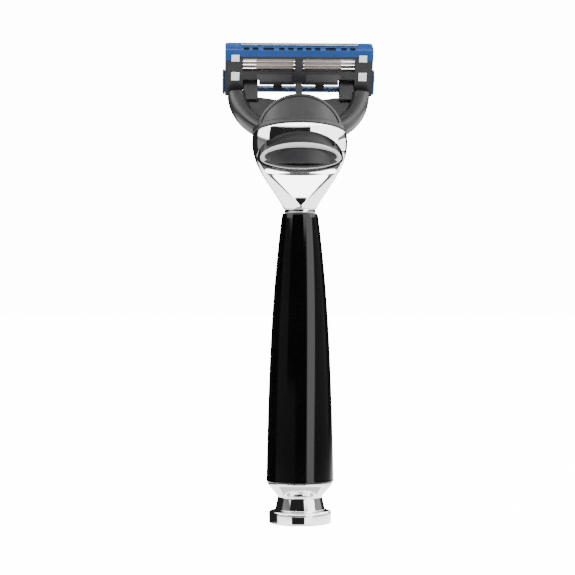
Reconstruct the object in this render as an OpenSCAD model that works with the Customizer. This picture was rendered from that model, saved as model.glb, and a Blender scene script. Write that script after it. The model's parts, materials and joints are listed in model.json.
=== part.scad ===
// Cartridge razor: turned handle, oval docking head with a thumb button,
// and a five-blade cartridge that pivots on a two-armed connector.
// +Z runs up the handle, the skin side is +Y, and the origin is the centre of the foot.

/* [Handle] */
// Height of the end cap
cap_h = 11.3; // [10.5:0.1:13]
// Radius of the end cap's foot flange
cap_foot_r = 8.4; // [8:0.1:9]
// Length of the grip
grip_len = 72.9; // [60:0.1:85]
// Radius of the grip at the end cap
grip_r_low = 9.15; // [8.9:0.05:9.6]
// Radius of the grip at the neck ring
grip_r_neck = 4.85; // [4.6:0.05:5.4]
// Radius of the core rod
rod_r = 1.95; // [1.5:0.05:2.2]

/* [Head] */
// Height of the head from the neck ring to the middle of its mouth
head_rise = 20.1; // [19:0.1:22]
// Half-width of the mouth
mouth_a = 13; // [12.6:0.1:13.4]
// Half-depth of the mouth
mouth_b = 7.4; // [7.2:0.1:7.8]
// Backward lean of the docking axis
nose_tilt = 26; // [24:0.5:28]
// Thickness of the head's wall
head_wall = 1.1; // [0.9:0.1:1.2]
// Travel of the release button
button_travel = 1.5; // [1:0.1:1.5]

/* [Connector] */
// Height of the docking dome
dome_h = 9.3; // [9:0.1:10]
// Half-width of the docking dome
dome_a = 11.7; // [11.4:0.1:12]
// Radius of the trunnion pins
trunnion_r = 1.1; // [0.9:0.05:1.15]
// Radial clearance of the trunnion pins
trunnion_gap = 0.05; // [0.02:0.01:0.08]
// Travel of the plunger
plunger_travel = 2.4; // [2.2:0.1:2.6]

/* [Blade unit] */
// Forward lean of the blade unit at rest
unit_tilt = 30; // [28:0.5:33]
// Largest swing of the blade unit
unit_swing = 45; // [30:1:45]
// Half-length of the blade unit's housing
unit_half = 20.3; // [20.1:0.05:20.5]
// Spacing of the blades
blade_pitch = 1.05; // [1:0.01:1.08]
// Angle of the blades to the shaving face
blade_angle = 22; // [20:0.5:24]

/* [Hidden] */
$fn = 64;
far = 40;

// Heights along the handle
grip_z0 = cap_h;
grip_z1 = grip_z0 + grip_len;
ring_h = 1.15;
ring_r = 4.2;
head_z0 = grip_z1 + ring_h;
rod_z0 = 4;
rod_z1 = head_z0 + 4.5;
rod_play = 0.05;

// Mouth of the head: the origin of the docking frame
mouth_y = 1.5;
mouth_z = head_z0 + head_rise;
neck_r = 4.5;

// Window for the button: two half ovals on one chord
window_a = 11.7;
window_z = mouth_z - 6.5;
window_up = 7.3;
window_down = 3.5;
button_gap = 0.25;

// Docking frame: y to the skin side, z along the docking axis
slide_face = 1;
nose_h = 6.4;
nose_a = 8.6;
nose_b = 4;
seat_gap = 0.15;
plunger_r = 1.3;
plunger_y = -1.5;
plunger_foot = 4.8;
plunger_top = 15.9;
plunger_play = 0.05;
button_top = -1.65;
spring_seat = -5.5;
spring_hole_r = 1.6;
button_spring_y = -0.9;

// Pivot of the blade unit, in the docking frame and in the unit's own frame
pivot_ny = 0.65;
pivot_nz = 16.2;
pivot_n = -2.5;
pivot_v = 3;
pivot_y = mouth_y + pivot_ny * cos(nose_tilt) + pivot_nz * sin(nose_tilt);
pivot_z = mouth_z - pivot_ny * sin(nose_tilt) + pivot_nz * cos(nose_tilt);
unit_y = pivot_y - pivot_n * cos(unit_tilt) + pivot_v * sin(unit_tilt);
unit_z = pivot_z - pivot_n * sin(unit_tilt) - pivot_v * cos(unit_tilt);

// Trunnions and the arm fingers that carry them
finger_x0 = 11.2;
finger_x1 = 15.2;
finger_r = 1.65;
trunnion_x1 = 17;

// Blade unit, in its own frame: y out of the shaving face, z from guard to cap
unit_back = -4.3;
lug_x = 15.4;
blade_v0 = 6.2;
blade_half = 18.1;
blade_w = 1.3;
blade_t = 0.1;
support_t = 0.2;
clip_x0 = 16.35;
clip_x1 = 18.6;
clip_t = 0.3;
clip_low_v = 5.5;
clip_high_v = 13.2;
carrier_top = 15.85;
deep_leg_x = 11.7;

// Frames
module in_nose() {
  translate([0, mouth_y, mouth_z]) rotate([-nose_tilt, 0, 0]) children();
}
module in_unit() {
  translate([0, unit_y, unit_z]) rotate([unit_tilt, 0, 0]) children();
}
// Extrudes an outline of (y, z) points from x0 to x1
module along_x(x0, x1) {
  translate([x0, 0, 0]) rotate([90, 0, 90]) linear_extrude(x1 - x0) children();
}
// Extrudes an outline of (x, z) points from y0 to y1
module along_y(y0, y1) {
  translate([0, y1, 0]) rotate([90, 0, 0]) linear_extrude(y1 - y0) children();
}
module box(low, high) {
  translate(low) cube(high - low);
}
module both_sides() {
  children();
  mirror([1, 0, 0]) children();
}

function oval(a, b, n = 48) = [for (i = [0:n - 1]) [a * cos(360 * i / n), b * sin(360 * i / n)]];
function arch(a, h, base, n = 24) = concat([[a, base], [-a, base]],
  [for (i = [1:n - 1]) [-a * cos(180 * i / n), max(base, h * sin(180 * i / n))]]);
function smooth(t) = let (u = min(1, max(0, t))) u * u * (3 - 2 * u);

// Radius of the grip at the share t of its length
function grip_r(t) = grip_r_low - (grip_r_low - grip_r_neck) * (0.37 * t + 0.63 * pow(t, 3));

// Head sections, from the neck (s = 0) to the mouth (s = 1)
function head_a(s) = neck_r + (mouth_a - neck_r) * pow(sin(min(100 * s, 100)), 1.2);
function head_b(s) = neck_r + (mouth_b - neck_r) * pow(sin(min(100 * s, 100)), 1.2);
function head_y(s) = mouth_y * s * s;
function head_z(s) = head_z0 + head_rise * s;
function head_lean(s) = nose_tilt * s * s;
facet_tip = 0.03;
facet_low = 0.1;
facet_depth_low = 4.58;
facet_fade_s = 0.56;
facet_blend = 0.18;
facet_slope = 0.296;
facet_curl = 16;
crease_slope = 21.5;
function crease_x(s) = max(0.25, min(crease_slope * (s - facet_tip), 0.965 * head_a(s),
  head_a(s) * sqrt(max(0, 1 - pow(facet_depth(s) / head_b(s), 2)))));
function facet_fade(s) = smooth((s - facet_fade_s) / facet_blend);
function facet_depth(s) = head_y(s) + facet_depth_low
  - head_rise * max(0, s - facet_low) * facet_slope;
function front_depth(s, x, a, b) = let (full = b * sqrt(max(0, 1 - pow(x / a, 2))),
  edge = b * sqrt(max(0, 1 - pow(crease_x(s) / head_a(s), 2))),
  middle = min(edge, facet_depth(s)),
  flat = middle + (edge - middle) * pow(min(1, abs(x) / crease_x(s)), facet_curl))
  min(full, flat + (full - flat) * facet_fade(s));
ring_back = 30;
ring_front = 18;
function head_ring(s, inset, faceted) = let (a = head_a(s) - inset, b = head_b(s) - inset,
  edge = acos(min(1, crease_x(s) / head_a(s))), lean = head_lean(s),
  back = [for (i = [0:ring_back]) let (t = -edge + (180 + 2 * edge) * i / ring_back)
    [a * cos(t), b * sin(t)]],
  front = [for (i = [1:ring_front - 1]) let (x = a * cos(edge) * (2 * i / ring_front - 1))
    [x, -(faceted ? front_depth(s, x, a, b) : b * sqrt(1 - pow(x / a, 2)))]])
  [for (p = concat(back, front)) [p[0], head_y(s) + p[1] * cos(lean), head_z(s) - p[1] * sin(lean)]];

// Solid through the head's sections from s0 to s1, drawn in by an inset
module head_loft(s0, s1, steps, inset, faceted) {
  n = ring_back + ring_front;
  rings = [for (k = [0:steps]) head_ring(s0 + (s1 - s0) * k / steps, inset, faceted)];
  points = [for (r = rings) for (p = r) p];
  sides = [for (k = [0:steps - 1]) for (i = [0:n - 1]) let (j = (i + 1) % n, c = k * n, d = c + n)
    for (f = [[c + i, d + i, c + j], [c + j, d + i, d + j]]) f];
  floor = [for (i = [0:n - 1]) i];
  roof = [for (i = [n - 1:-1:0]) steps * n + i];
  polyhedron(points, concat(sides, [floor, roof]));
}

// Outline of the window, or of something that fills it with a gap all round
module window_outline(gap, up = window_up, down = window_down) {
  polygon([for (i = [0:59]) let (t = 6 * i)
    [(window_a - gap) * cos(t), window_z + (sin(t) > 0 ? up - gap : down - gap) * sin(t)]]);
}

// Helical spring with flat ends inside z = 0 to len
module coil(r, wire, turns, len) {
  sides = 6;
  steps = 14 * turns;
  rise = len - 2 * wire;
  points = [for (k = [0:steps]) let (a = 360 * turns * k / steps, z = wire + rise * k / steps)
    for (i = [0:sides - 1]) let (t = 360 * i / sides, d = r + wire * cos(t))
      [d * cos(a), d * sin(a), z + wire * sin(t)]];
  skin = [for (k = [0:steps - 1]) for (i = [0:sides - 1])
    let (j = (i + 1) % sides, c = k * sides, d = c + sides)
    for (f = [[c + i, c + j, d + i], [c + j, d + j, d + i]]) f];
  first = [for (i = [sides - 1:-1:0]) i];
  last = [for (i = [0:sides - 1]) steps * sides + i];
  polyhedron(points, concat(skin, [first, last]));
}

// Handle
module handle_grip() {
  steps = 36;
  edge = 0.5;
  color("#0b0b0c") difference() {
    rotate_extrude() polygon(concat([[0, grip_z0], [grip_r_low - edge, grip_z0]],
      [for (i = [0:steps]) let (t = i / steps)
        [grip_r(t) - (i == 0 ? 0.1 : i == steps ? 0.25 : 0),
         grip_z0 + 0.3 + (grip_len - 0.5) * t]],
      [[ring_r + 0.1, grip_z1], [0, grip_z1]]));
    translate([0, 0, grip_z0 - 1]) cylinder(r = rod_r + rod_play, h = grip_len + 2);
    translate([0, 0, grip_z0 - 1]) cylinder(r = 4.1, h = 1.5);
    translate([0, 0, grip_z1 - 0.9]) cylinder(r = 3.1, h = 2);
  }
}
module core_rod() {
  color("#a8abb0") translate([0, 0, rod_z0]) cylinder(r = rod_r, h = rod_z1 - rod_z0);
}
module end_cap() {
  flange_h = 3.4;
  neck_z0 = 3.7;
  neck_z1 = 7.5;
  bowl_r = 8.8;
  color("#d9dce0") difference() {
    rotate_extrude() polygon([[0, 0], [cap_foot_r - 0.4, 0], [cap_foot_r, 0.4],
      [cap_foot_r, flange_h - 0.4], [cap_foot_r - 0.4, flange_h], [6.3, flange_h],
      [6.5, neck_z0], [6.8, neck_z0], [5.95, neck_z1 - 0.6], [6, neck_z1], [6.6, neck_z1 + 0.7],
      [7.7, neck_z1 + 1.6], [8.45, neck_z1 + 2.6], [bowl_r, neck_z1 + 3.4], [bowl_r, cap_h],
      [0, cap_h]]);
    translate([0, 0, rod_z0]) cylinder(r = rod_r + rod_play, h = cap_h);
  }
}
module end_cap_washer() {
  color("#3a3a3c") translate([0, 0, grip_z0]) difference() {
    cylinder(r = 4, h = 0.45);
    translate([0, 0, -1]) cylinder(r = rod_r + 0.15, h = 3);
  }
}
module neck_ring() {
  color("#d9dce0") difference() {
    rotate_extrude() polygon([[0, grip_z1], [ring_r - 0.15, grip_z1], [ring_r, grip_z1 + 0.15],
      [ring_r, head_z0 - 0.15], [ring_r - 0.15, head_z0], [0, head_z0]]);
    translate([0, 0, grip_z1 - 1]) cylinder(r = rod_r + rod_play, h = 4);
  }
}
module neck_seal() {
  color("#1c1c1e") translate([0, 0, grip_z1 - 0.45])
    rotate_extrude() translate([rod_r + 0.55, 0]) circle(r = 0.4);
}

// Head
// The resize keeps the true width and makes the whole shell one smooth mesh
module head_housing() {
  color("#e3e6ea") resize([2 * mouth_a, 0, 0]) difference() {
    head_loft(0, 1, 22, 0, true);
    head_loft(0.56, 1.06, 10, head_wall, false);
    along_y(-20, 0) window_outline(0);
    translate([0, 0, head_z0 - 1]) cylinder(r = rod_r + rod_play, h = rod_z1 - head_z0 + 1);
  }
}
module nose_outline(gap) {
  polygon(arch(nose_a + 1 + gap, nose_h + 1.1 + gap, -10));
}
module nose_insert() {
  floor_z = 1;
  color("#2a2a2d") difference() {
    union() {
      intersection() {
        head_loft(0.565, 1.0, 8, head_wall + 0.05, false);
        in_nose() box([-far, slide_face, -far], [far, far, -0.05]);
      }
      in_nose() intersection() {
        translate([0, 0, -0.3]) linear_extrude(nose_h + 0.3) polygon(oval(nose_a, nose_b));
        along_y(-far, far) nose_outline(0);
        union() {
          box([-far, -far, 0.3], [far, far, far]);
          box([-far, slide_face, -1], [far, far, far]);
        }
      }
    }
    in_nose() translate([0, plunger_y, floor_z]) cylinder(r = plunger_r + plunger_play, h = 9);
  }
}
// The thumb face: crest above, dish below, leaning out towards the crest
module thumb_face() {
  crest_h = 4.4;
  low_y = -2.6;
  high_y = -6.7;
  intersection() {
    along_y(-9, -0.8) window_outline(0.7, crest_h + 0.7, window_down - 0.1);
    along_x(-far, far) polygon([[0, window_z - 4], [low_y, window_z - 3.2],
      [high_y, window_z + crest_h - 0.4], [high_y + 0.5, window_z + crest_h], [0, window_z + 4.6]]);
  }
}
module release_button() {
  dish_r = 14;
  slide_rise = 1.4;
  color("#48484b") difference() {
    union() {
      intersection() {
        head_loft(0.565, 1.0, 8, head_wall + button_gap, false);
        in_nose() box([-10.9, -far, -far], [10.9, slide_face - 0.1, button_top]);
      }
      intersection() {
        union() {
          thumb_face();
          intersection() {
            head_loft(0.5, 1.0, 8, 0.5, false);
            along_y(-far, -0.8) intersection() {
              window_outline(0.3, window_up - 1.35, window_down - 0.2);
              // Stays clear of the window's edge when the button is pushed up
              translate([0, -slide_rise]) window_outline(0.35, window_up, window_down + 2);
            }
          }
        }
        in_nose() box([-far, -far, -far], [far, slide_face - 0.1, far]);
      }
    }
    translate([0, -5.4, window_z + 0.3]) rotate([-30, 0, 0]) scale([1, 0.32, 0.29])
      translate([0, -dish_r * 0.62, 0]) sphere(r = dish_r, $fn = 40);
    in_nose() box([-10.9, -2.6, -6.3], [10.9, far, far]);
  }
}
module ejector() {
  color("#6a6c70") difference() {
    intersection() {
      head_loft(0.565, 1.0, 8, head_wall + button_gap, false);
      in_nose() union() {
        box([-10.8, -2.5, -6.3], [10.8, slide_face - 0.1, -4.7]);
        both_sides() box([9.1, -2.5, -6.3], [10.8, slide_face - 0.1, -1.5]);
      }
    }
    in_nose() translate([0, button_spring_y, spring_seat]) cylinder(r = spring_hole_r, h = 20);
  }
}
module button_spring() {
  color("#b9bcc0") in_nose() translate([0, button_spring_y, spring_seat])
    coil(1.2, 0.2, 6, 0.3 - spring_seat);
}
module plunger() {
  strut_z = 9.6;
  color("#35353a") in_nose() translate([0, plunger_y, 0]) {
    translate([0, 0, plunger_foot]) cylinder(r = plunger_r, h = strut_z - plunger_foot);
    box([-0.9, -0.6, strut_z - 0.5], [0.9, 0.6, plunger_top - 0.6]);
    translate([-0.9, 0, plunger_top - 0.6]) rotate([0, 90, 0]) cylinder(r = 0.6, h = 1.8);
  }
}
module plunger_spring() {
  color("#b9bcc0") in_nose() translate([0, plunger_y, 1]) coil(0.95, 0.17, 6, plunger_foot - 1);
}

// Connector
arm_x = 6.2;
arm_z = 14.2;
arm_a = 13.4;
arm_b = 14.9;
arm_w = 4.8;
arm_start = -66;
arm_end = -5;
web_top = 12.3;
module arm_outline() {
  steps = 16;
  function at(a, b, i) = let (t = arm_start + (arm_end - arm_start) * i / steps)
    [arm_x + a * cos(t), arm_z + b * sin(t)];
  polygon(concat([for (i = [0:steps]) at(arm_a, arm_b, i)],
    [for (i = [steps:-1:0]) at(arm_a - arm_w, arm_b - arm_w, i)]));
}
module connector() {
  socket_gap = 0.15;
  color("#4a4a4d") in_nose() difference() {
    union() {
      intersection() {
        translate([0, 0, seat_gap]) linear_extrude(dome_h) polygon(oval(mouth_a - 0.2, 6.7));
        along_y(-far, far) polygon(arch(dome_a, dome_h, seat_gap));
      }
      translate([0, 0, seat_gap]) linear_extrude(1.6) polygon(oval(mouth_a - 0.1, mouth_b - 0.1));
      both_sides() {
        along_y(-1.6, 2.2) arm_outline();
        along_y(0.2, 1.6) polygon([[0, 4], [10, 4.5], [13, 6.5], [14.6, 9.5], [14.4, web_top],
          [10, web_top], [6, web_top - 0.7], [2.2, web_top - 1], [0, web_top - 1]]);
        box([finger_x0, -1, 11.2], [finger_x1, 2.2, pivot_nz]);
        translate([finger_x0, pivot_ny, pivot_nz]) rotate([0, 90, 0]) {
          cylinder(r = finger_r, h = finger_x1 - finger_x0);
          cylinder(r = trunnion_r, h = trunnion_x1 - finger_x0);
        }
      }
    }
    intersection() {
      translate([0, 0, -1]) linear_extrude(nose_h + 1 + socket_gap)
        polygon(oval(nose_a + socket_gap, nose_b + socket_gap));
      along_y(-far, far) nose_outline(socket_gap);
    }
    translate([0, plunger_y, 0]) cylinder(r = plunger_r + 0.4, h = far);
  }
}

// Blade unit
module finger_notch() {
  both_sides() {
    translate([finger_x0 - 0.3, pivot_n, pivot_v]) rotate([0, 90, 0])
      cylinder(r = finger_r + 0.45, h = finger_x1 - finger_x0 + 0.5);
    box([finger_x0 - 0.3, -9, -1], [finger_x1 + 0.2, pivot_n, 5.8]);
  }
}
// Room that the plunger's tip needs as the unit swings
module plunger_path() {
  tip_gap = 0.15;
  dy = plunger_y - pivot_ny;
  for (a = [0:5:unit_swing]) {
    dz = plunger_top - 0.6 - pivot_nz - plunger_travel * a / unit_swing;
    turn = -unit_tilt - nose_tilt - a;
    translate([0, pivot_n, pivot_v]) rotate([turn, 0, 0]) translate([0, dy, dz]) {
      translate([-1.1, 0, 0]) rotate([0, 90, 0]) cylinder(r = 0.6 + tip_gap, h = 2.2, $fn = 24);
      box([-1.1, -0.6 - tip_gap, -5], [1.1, 0.6 + tip_gap, 0]);
    }
  }
}
module end_block_outline() {
  polygon([[unit_back, 1.1], [unit_back + 0.7, 0.5], [-0.6, 0.5], [0, 1.1], [0, 12.4],
    [unit_back, 12.4]]);
}
module cap_outline() {
  polygon([[unit_back, 11.9], [-0.4, 11.9], [0, 12.2], [0, 14], [-0.9, 14.8], [-2.4, 14.8],
    [unit_back, 13.8]]);
}
module blade_housing() {
  color("#2c2d30") in_unit() difference() {
    union() {
      along_x(-unit_half, unit_half) cap_outline();
      both_sides() along_x(lug_x, unit_half) end_block_outline();
      // Rail in front of the first blade
      box([-lug_x - 0.1, -3, 3.9], [lug_x + 0.1, 0, 5.4]);
      // Back bar and its raised panel
      box([-lug_x - 0.1, unit_back, 4.1], [lug_x + 0.1, -3, 8]);
      // Teeth that break up the slot behind the guard
      both_sides() box([4.6, -3.9, 2.3], [7, -3, 4.2]);
      // Strut between the two windows
      box([-1.1, unit_back, 7.9], [1.1, -2.9, 12]);
    }
    finger_notch();
    plunger_path();
    both_sides() {
      translate([lug_x - 1, pivot_n, pivot_v]) rotate([0, 90, 0])
        cylinder(r = trunnion_r + trunnion_gap, h = trunnion_x1 - lug_x + 1.2);
      // Pocket for the blade ends
      box([lug_x - 1, -2.7, 5.95], [blade_half + 0.15, 1, 11.75]);
      // Slots for the clip legs
      for (v = [clip_low_v - 0.05, clip_high_v - clip_t - 0.05])
        box([clip_x0 - 0.1, -9, v], [clip_x1 + 0.1, 1, v + clip_t + 0.1]);
    }
    // Recess for the lubricating strip
    box([-16, -0.45, 12.1], [16, 1, 14.15]);
    // Recess of the back panel
    both_sides() box([1.9, unit_back - 1, 4.9], [11.6, unit_back + 0.25, 7.3]);
  }
}
module guard_fins() {
  fin_n = 3;
  color("#2f5fa5") in_unit() {
    difference() {
      union() {
        along_x(-lug_x + 0.1, lug_x - 0.1) polygon([[-2.2, 1], [-0.4, 0.2], [0, 0.2], [0, 2.1],
          [-2.2, 2.1]]);
        for (i = [0:fin_n - 1]) along_x(-lug_x + 0.1, lug_x - 0.1)
          polygon([[-0.05, 0.3 + 0.65 * i], [0.2, 0.5 + 0.65 * i], [-0.05, 0.65 + 0.65 * i]]);
        both_sides() box([lug_x - 0.3, 0.02, 0.6], [unit_half + 0.5, 0.22, 4.9]);
      }
      finger_notch();
    }
    both_sides() along_x(unit_half + 0.03, unit_half + 0.7)
      polygon([[-3.6, 1.6], [-2.8, 0.5], [0.22, 0.5], [0.22, 5], [-1.2, 7.6], [-3.6, 7.6]]);
  }
}
module lube_strip() {
  color("#c9d6cf") in_unit() along_x(-15.9, 15.9)
    polygon([[-0.43, 12.15], [0.15, 12.15], [0.32, 12.5], [0.32, 13.8], [0.1, 14.1],
      [-0.43, 14.1]]);
}
module blade(i) {
  color("#c6cacf") in_unit() translate([0, -0.02, blade_v0 + blade_pitch * i])
    rotate([blade_angle, 0, 0]) along_x(-blade_half, blade_half)
      polygon([[0, 0], [-0.02, 0.28], [-0.02, blade_w], [-blade_t, blade_w],
        [-blade_t, 0.28]]);
}
module blade_support(i) {
  shelf_v0 = 0.45;
  bend_v = 1.02;
  shallow = -1.3;
  deep = -2.5;
  color("#b5aaa4") in_unit() translate([0, -0.02, blade_v0 + blade_pitch * i]) {
    rotate([blade_angle, 0, 0]) along_x(-blade_half + 0.2, blade_half - 0.2)
      polygon([[-blade_t - 0.01, shelf_v0], [-blade_t - 0.01, bend_v],
        [-blade_t - 0.01 - support_t, bend_v + 0.1], [-blade_t - 0.01 - support_t, shelf_v0]]);
    along_x(-blade_half + 0.2, blade_half - 0.2)
      box_outline(shallow, bend_v - 0.17, -0.56, bend_v - 0.17 + support_t);
    both_sides() along_x(1.5, deep_leg_x)
      box_outline(deep, bend_v - 0.17, shallow + 0.05, bend_v - 0.17 + support_t);
  }
}
module box_outline(y0, z0, y1, z1) {
  polygon([[y0, z0], [y1, z0], [y1, z1], [y0, z1]]);
}
module clip(side) {
  back = unit_back - 0.05;
  low = clip_low_v;
  high = clip_high_v;
  color("#e4e7ea") in_unit() scale([side, 1, 1]) along_x(clip_x0, clip_x1) {
    box_outline(0.23, low, 0.23 + clip_t, high);
    box_outline(back - clip_t, low, 0.3, low + clip_t);
    box_outline(back - clip_t, low, back, low + 2.5);
    box_outline(back - clip_t, high - clip_t, 0.3, high);
    box_outline(back - clip_t, high - 2.1, back, high);
  }
}
module carrier_outline() {
  polygon([[-4.9, 12.75], [unit_back - 0.05, 12.75], [unit_back - 0.05, 13.85], [-2.42, 14.85],
    [-1.2, 14.85], [-1.2, 15.2], [-2.4, carrier_top], [-3, carrier_top], [-4.4, 15.1],
    [-4.9, 14.6]]);
}
// Carrier seen along its thickness, with its two top corners rounded
module carrier_ends() {
  round_r = 1.2;
  function corner(side, t) = [side * (unit_half - round_r) + round_r * cos(t),
    carrier_top - round_r + round_r * sin(t)];
  polygon(concat([[-unit_half, 10], [unit_half, 10]], [for (t = [0:15:90]) corner(1, t)],
    [for (t = [90:15:180]) corner(-1, t)]));
}
module comb_slot(x, w) {
  translate([x, -4.65, 14.85]) rotate([-40, 0, 0]) box([-w / 2, -1, -0.25], [w / 2, 0.5, 0.5]);
}
module trimmer_carrier() {
  short_x = [0, 2.45, 4.9, 12.1, 14.5];
  long_x = [8.5];
  color("#2a63ad") in_unit() difference() {
    union() {
      intersection() {
        along_x(-unit_half, unit_half) carrier_outline();
        along_y(-far, far) carrier_ends();
      }
      both_sides() along_x(clip_x0 - 0.2, unit_half) polygon([[-4.9, 11.6], [-4.4, 11.6],
        [-4.4, 14.3], [-4.9, 14.1]]);
    }
    both_sides() box([clip_x0 - 0.15, -9, 9], [clip_x1 + 0.15, -4.2, 13.4]);
    both_sides() box([clip_x0 - 0.1, -9, 12.8], [clip_x1 + 0.1, 1, 13.35]);
    both_sides() {
      for (x = short_x) comb_slot(x, 1.5);
      for (x = long_x) comb_slot(x, 2.8);
    }
  }
}
module trimmer_blade() {
  color("#c9ccd1") in_unit() along_x(-16, 16)
    polygon([[-3.72, 15.62], [-3.2, 15.9], [-3.1, 16.15], [-3.25, 16.1], [-3.8, 15.72]]);
}

handle_grip();
core_rod();
end_cap();
end_cap_washer();
neck_ring();
neck_seal();
head_housing();
nose_insert();
release_button();
ejector();
button_spring();
plunger();
plunger_spring();
connector();
blade_housing();
guard_fins();
lube_strip();
blade(0);  // blade_1
blade(1);  // blade_2
blade(2);  // blade_3
blade(3);  // blade_4
blade(4);  // blade_5
blade_support(0);  // blade_support_1
blade_support(1);  // blade_support_2
blade_support(2);  // blade_support_3
blade_support(3);  // blade_support_4
blade_support(4);  // blade_support_5
clip(-1);  // clip_left
clip(1);  // clip_right
trimmer_carrier();
trimmer_blade();
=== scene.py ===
import json
import math

import bmesh
import bpy
import numpy as np
from mathutils import Matrix, Vector


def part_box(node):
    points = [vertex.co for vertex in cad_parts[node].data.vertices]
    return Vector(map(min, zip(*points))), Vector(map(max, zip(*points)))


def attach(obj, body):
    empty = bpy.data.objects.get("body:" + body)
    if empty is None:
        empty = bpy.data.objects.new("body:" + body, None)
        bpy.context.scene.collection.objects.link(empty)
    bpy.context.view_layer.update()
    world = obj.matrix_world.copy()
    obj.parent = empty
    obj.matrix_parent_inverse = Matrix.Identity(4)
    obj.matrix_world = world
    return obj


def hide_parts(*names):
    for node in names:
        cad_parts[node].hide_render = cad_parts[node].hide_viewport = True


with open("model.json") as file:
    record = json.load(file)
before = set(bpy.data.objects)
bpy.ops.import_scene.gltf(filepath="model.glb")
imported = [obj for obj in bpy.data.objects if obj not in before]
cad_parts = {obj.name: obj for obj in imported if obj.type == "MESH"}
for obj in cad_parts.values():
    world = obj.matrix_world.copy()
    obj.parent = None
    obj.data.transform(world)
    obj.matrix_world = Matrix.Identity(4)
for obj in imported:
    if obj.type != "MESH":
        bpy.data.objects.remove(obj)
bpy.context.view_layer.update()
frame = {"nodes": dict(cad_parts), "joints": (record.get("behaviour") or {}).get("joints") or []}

# ---------------------------------------------------------------- sizes, in millimetres
MM = 0.001
JOINTS = {j["name"]: j for j in frame["joints"]}


def box_mm(node):
    low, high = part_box(node)
    return low / MM, high / MM


AXIS = Vector(JOINTS["button_slide"]["axis"])
NOSE_TILT = math.atan2(AXIS.y, AXIS.z)
PIVOT = Vector(JOINTS["blade_pivot"]["pos_m"]) / MM
UNIT_TILT = math.radians(30)
PIVOT_IN_NOSE = Vector((0, 0.65, 16.2))
PIVOT_IN_UNIT = Vector((0, -2.5, 3.0))
TO_NOSE = Matrix.Translation(PIVOT) @ Matrix.Rotation(-NOSE_TILT, 4, "X") @ Matrix.Translation(-PIVOT_IN_NOSE)
TO_UNIT = Matrix.Translation(PIVOT) @ Matrix.Rotation(UNIT_TILT, 4, "X") @ Matrix.Translation(-PIVOT_IN_UNIT)
MOUTH = TO_NOSE @ Vector((0, 0, 0))

# Handle. The head's sections run from s = 0 at its neck to s = 1 at its mouth, where a is half its width
# and b half its depth. The facet under the button has a tip, a depth, a slope and two straight creases.
GRIP_Z0, GRIP_Z1 = box_mm("handle_grip")[0].z, box_mm("handle_grip")[1].z
CAP_H = box_mm("end_cap")[1].z
FOOT_R = 8.4
RING_R = 4.2
HEAD_Z0 = box_mm("neck_ring")[1].z
HEAD_RISE = MOUTH.z - HEAD_Z0
MOUTH_A, MOUTH_B = 13.0, 7.4
NECK_R = 4.5
HEAD_WALL = 1.1
CAVITY_S = 0.56
FACET_TIP, FACET_LOW, FACET_FADE, FACET_BLEND = 0.03, 0.1, 0.56, 0.18
FACET_DEPTH, FACET_SLOPE, FACET_CURL = 4.58, 0.296, 16
CREASE_SLOPE = 21.5
TIP_ROUND, TIP_HALF = 0.5, 0.25
FLARE_TURN, FLARE_POWER = 100, 1.2
WINDOW_A, WINDOW_UP, WINDOW_DOWN = 11.7, 7.3, 3.5
WINDOW_Z = MOUTH.z - 6.5
UNIT_HALF = 20.3
# Further than any cut has to reach
FAR = 40
# How bright the camera sees the room
SEEN_WHITE = 14.0
# Panels of the room, later ones over earlier ones: brightness, azimuth from the front towards the right,
# elevation, softness. A grip's reflections rise as it tapers, so the strip light widens with height.
PANELS = (
    (1.2, -200, 200, -100, 100, 1),
    (3.2, -200, 200, -48, -4.5, 1.5),
    (0.03, -200, 200, -4.5, 15, 1.5),
    (0.3, -115, -20, -4.5, 14, 8),
    (0.35, 46, 120, -4.5, 14, 6),
    (4.0, -200, 200, 15, 52, 1.5),
    (0.02, -200, -95, -14, 35, 5),
    (0.02, -52, 18, 1, 30.2, 1.0),
    (0.02, -34, 14, -14, -4.5, 1.2),
    (7.0, -70, 70, 31.2, 50, 1.0),
    (0.1, -75, 75, 54, 70, 3),
)
STRIP_LIGHT = (4.2, 20, 46, -4.5, 17, 1.5)


# ---------------------------------------------------------------- mesh helpers
def make(name, verts, faces, matrix=None):
    """A mesh object from points in millimetres, set by matrix into the row frame."""
    matrix = matrix or Matrix.Identity(4)
    mesh = bpy.data.meshes.new(name)
    mesh.from_pydata([tuple((matrix @ Vector(v)) * MM) for v in verts], [], faces)
    mesh.validate()
    obj = bpy.data.objects.new(name, mesh)
    bpy.context.scene.collection.objects.link(obj)
    bm = bmesh.new()
    bm.from_mesh(mesh)
    bmesh.ops.recalc_face_normals(bm, faces=bm.faces)
    bm.to_mesh(mesh)
    bm.free()
    return obj


def apply_modifiers(obj):
    """Turns the object's modifiers into its mesh."""
    graph = bpy.context.evaluated_depsgraph_get()
    mesh = bpy.data.meshes.new_from_object(obj.evaluated_get(graph))
    obj.modifiers.clear()
    obj.data = mesh
    return obj


def bevel(obj, width, segments=3, angle=35):
    """Rounds the edges that are sharper than angle by width millimetres."""
    mod = obj.modifiers.new("bevel", "BEVEL")
    mod.width = width * MM
    mod.segments = segments
    mod.limit_method = "ANGLE"
    mod.angle_limit = math.radians(angle)
    mod.use_clamp_overlap = True
    mod.miter_outer = "MITER_ARC"
    return apply_modifiers(obj)


def boolean(obj, other, operation="DIFFERENCE"):
    """Cuts, keeps or adds the other object, which is used up."""
    mod = obj.modifiers.new("cut", "BOOLEAN")
    mod.operation = operation
    mod.solver = "EXACT"
    mod.object = other
    apply_modifiers(obj)
    bpy.data.objects.remove(other)
    return obj


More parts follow.
